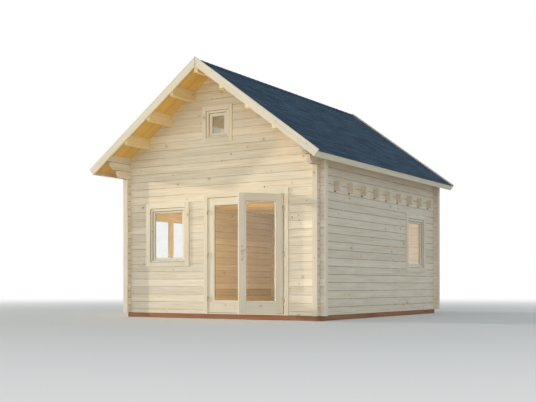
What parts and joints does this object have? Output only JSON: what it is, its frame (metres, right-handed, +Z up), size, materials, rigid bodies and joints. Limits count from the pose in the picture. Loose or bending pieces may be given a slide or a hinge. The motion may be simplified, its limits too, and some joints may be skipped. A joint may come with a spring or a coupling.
{
  "type": "log cabin",
  "caption": "Small gabled log cabin with notched corners, a shingled roof with a deep front overhang, a glazed double door, windows and a loft.",
  "frame": {"origin": "on the ground, under the middle of the whole cabin's box with the roof overhangs", "axes": "+Z up, the gabled front with the double door faces -Y, +Y along the ridge to the back, +X to the side with the single window"},
  "size_m": [4.67, 5.89, 4.375],
  "materials": {
    "wall_logs": "matte",
    "trim_boards": "matte",
    "roof_timber": "matte",
    "treated_beams": "matte",
    "floor": "matte",
    "joinery": "satin",
    "roof_covering": "rough",
    "glass": "clear",
    "door_metal": "satin",
    "drip_metal": "satin"
  },
  "bodies": {
    "cabin": {"back_barge_boards": "trim_boards", "back_gable": "wall_logs", "back_wall": "wall_logs", "corner_boards": "trim_boards", "door_casing": "joinery", "door_frame": "joinery", "door_threshold": "joinery", "eave_boards": "trim_boards", "floor_boards": "floor", "floor_joists": "treated_beams", "foundation_beams": "treated_beams", "frame_hinges": "door_metal", "front_barge_boards": "trim_boards", "front_gable": "wall_logs", "front_wall_left": "wall_logs", "front_wall_over_door": "wall_logs", "front_wall_right": "wall_logs", "left_wall": "wall_logs", "loft_floor": "floor", "loft_joists": "roof_timber", "ridge_cap": "roof_covering", "ridge_purlin": "roof_timber", "right_wall": "wall_logs", "roof_boards_left": "roof_timber", "roof_boards_right": "roof_timber", "roof_covering_left": "roof_covering", "roof_covering_right": "roof_covering", "side_purlins": "roof_timber", "window_casings": "joinery", "window_drip_bars": "drip_metal", "window_frames": "joinery", "window_glass": "glass", "window_sashes": "joinery"},
    "right_leaf": {"right_door_leaf": "joinery", "right_door_glass": "glass", "right_door_handle": "door_metal", "right_door_hinges": "door_metal"},
    "left_leaf": {"left_door_leaf": "joinery", "left_door_glass": "glass", "left_door_hinges": "door_metal"}
  },
  "joints": [
    {"name": "right_leaf_hinge", "type": "hinge", "parent": "cabin", "child": "right_leaf", "pos_m": [1.3415, -2.313, 1.09], "axis": [0, 0, 1], "range_deg": [-49.5, 50.5]},
    {"name": "left_leaf_hinge", "type": "hinge", "parent": "cabin", "child": "left_leaf", "pos_m": [-0.1985, -2.313, 1.09], "axis": [0, 0, -1], "range_deg": [0, 100]}
  ]
}
